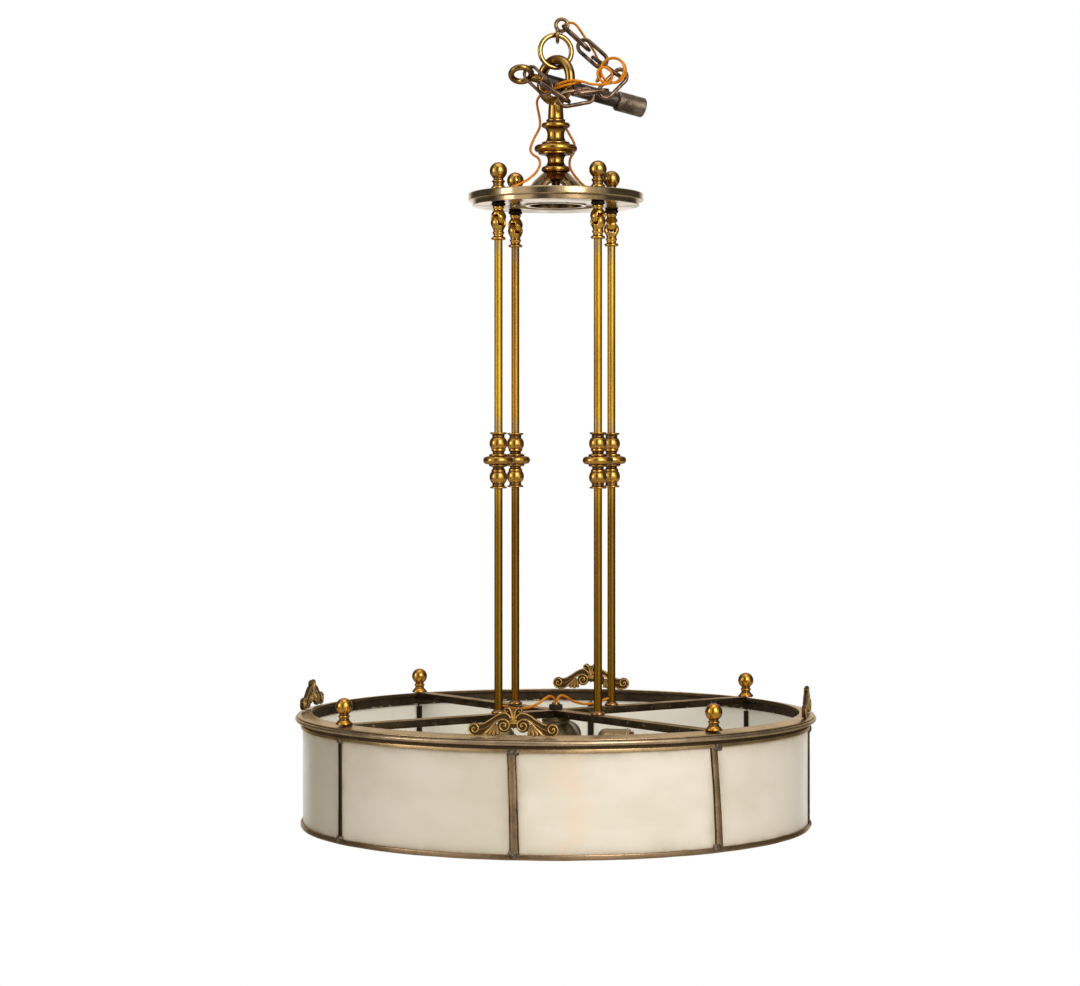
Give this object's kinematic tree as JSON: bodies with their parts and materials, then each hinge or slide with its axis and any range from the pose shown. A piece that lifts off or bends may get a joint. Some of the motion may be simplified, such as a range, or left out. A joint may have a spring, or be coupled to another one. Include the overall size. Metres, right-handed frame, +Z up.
{
  "type": "brass downrod chandelier",
  "caption": "Ceiling light with a glass drum in a brass frame, hung on turned rods with interlocking eyes from a round plate, stem and hook loop.",
  "frame": {"origin": "inside top of the hook loop that carries the fitting", "axes": "+Z up along the stem; the crests lie on X and Y and the four rods on the diagonals"},
  "size_m": [0.61, 0.61, 0.9471],
  "materials": {
    "slag_glass": "satin, milky",
    "frame_brass": "dull, aged",
    "dark_metal": "dull, blackened",
    "crest_bronze": "cast, gilt edges",
    "plate_brass": "polished, scratched",
    "copper_shell": "plain",
    "chain_bronze": "dark, worn",
    "black_steel": "blackened, worn",
    "lamp_wire": "gold insulation",
    "turned_brass": "satin lacquered"
  },
  "bodies": {
    "frame": {"gallery_ring": "frame_brass", "inner_band": "dark_metal", "glass_came": "frame_brass", "bottom_ring": "frame_brass", "glass_panel_1": "slag_glass", "glass_panel_2": "slag_glass", "glass_panel_3": "slag_glass", "glass_panel_4": "slag_glass", "glass_panel_5": "slag_glass", "glass_panel_6": "slag_glass", "glass_panel_7": "slag_glass", "glass_panel_8": "slag_glass", "mullions": "frame_brass", "crest_1": "crest_bronze", "crest_2": "crest_bronze", "crest_3": "crest_bronze", "crest_4": "crest_bronze", "rim_finials": "turned_brass", "cross_bar_1": "dark_metal", "cross_bar_2": "dark_metal", "centre_nut": "dark_metal", "centre_nipple": "turned_brass", "cluster_body": "frame_brass", "cluster_cap": "frame_brass", "lamp_arms": "turned_brass", "lamp_holder_1": "turned_brass", "lamp_holder_2": "turned_brass", "lamp_holder_3": "turned_brass", "lamp_holder_4": "turned_brass", "screw_shells": "copper_shell", "socket_insulators": "dark_metal", "down_rod_1": "turned_brass", "down_rod_2": "turned_brass", "down_rod_3": "turned_brass", "down_rod_4": "turned_brass", "rod_collars": "turned_brass", "rod_feet": "turned_brass", "lower_eyes": "turned_brass", "upper_eyes": "turned_brass", "top_plate": "plate_brass", "plate_finials": "turned_brass", "spider": "plate_brass", "stem": "turned_brass", "stem_nut": "dark_metal", "hook_loop": "turned_brass", "chain_connector": "turned_brass", "chain_link_1": "chain_bronze", "chain_link_2": "chain_bronze", "chain_link_3": "chain_bronze", "chain_link_4": "chain_bronze", "chain_link_5": "chain_bronze", "chain_link_6": "chain_bronze", "chain_link_7": "chain_bronze", "chain_link_8": "chain_bronze", "lamp_wire_coil": "lamp_wire", "lamp_wire_run": "lamp_wire"},
    "hanging_ring": {"suspension_ring": "turned_brass"},
    "ceiling_stem": {"ceiling_eye": "turned_brass", "ceiling_pipe": "black_steel", "pipe_coupling": "black_steel"}
  },
  "joints": [
    {"name": "hanging_ring_swing", "type": "hinge", "parent": "frame", "child": "hanging_ring", "pos_m": [0, 0, 0.00575], "axis": [0.7986, -0.6018, 0], "range_deg": [-12, 12]},
    {"name": "ceiling_stem_swing", "type": "hinge", "parent": "frame", "child": "ceiling_stem", "pos_m": [-0.02744, -0.01852, -0.0125], "axis": [0, 0, 1], "range_deg": [0, 5]}
  ]
}
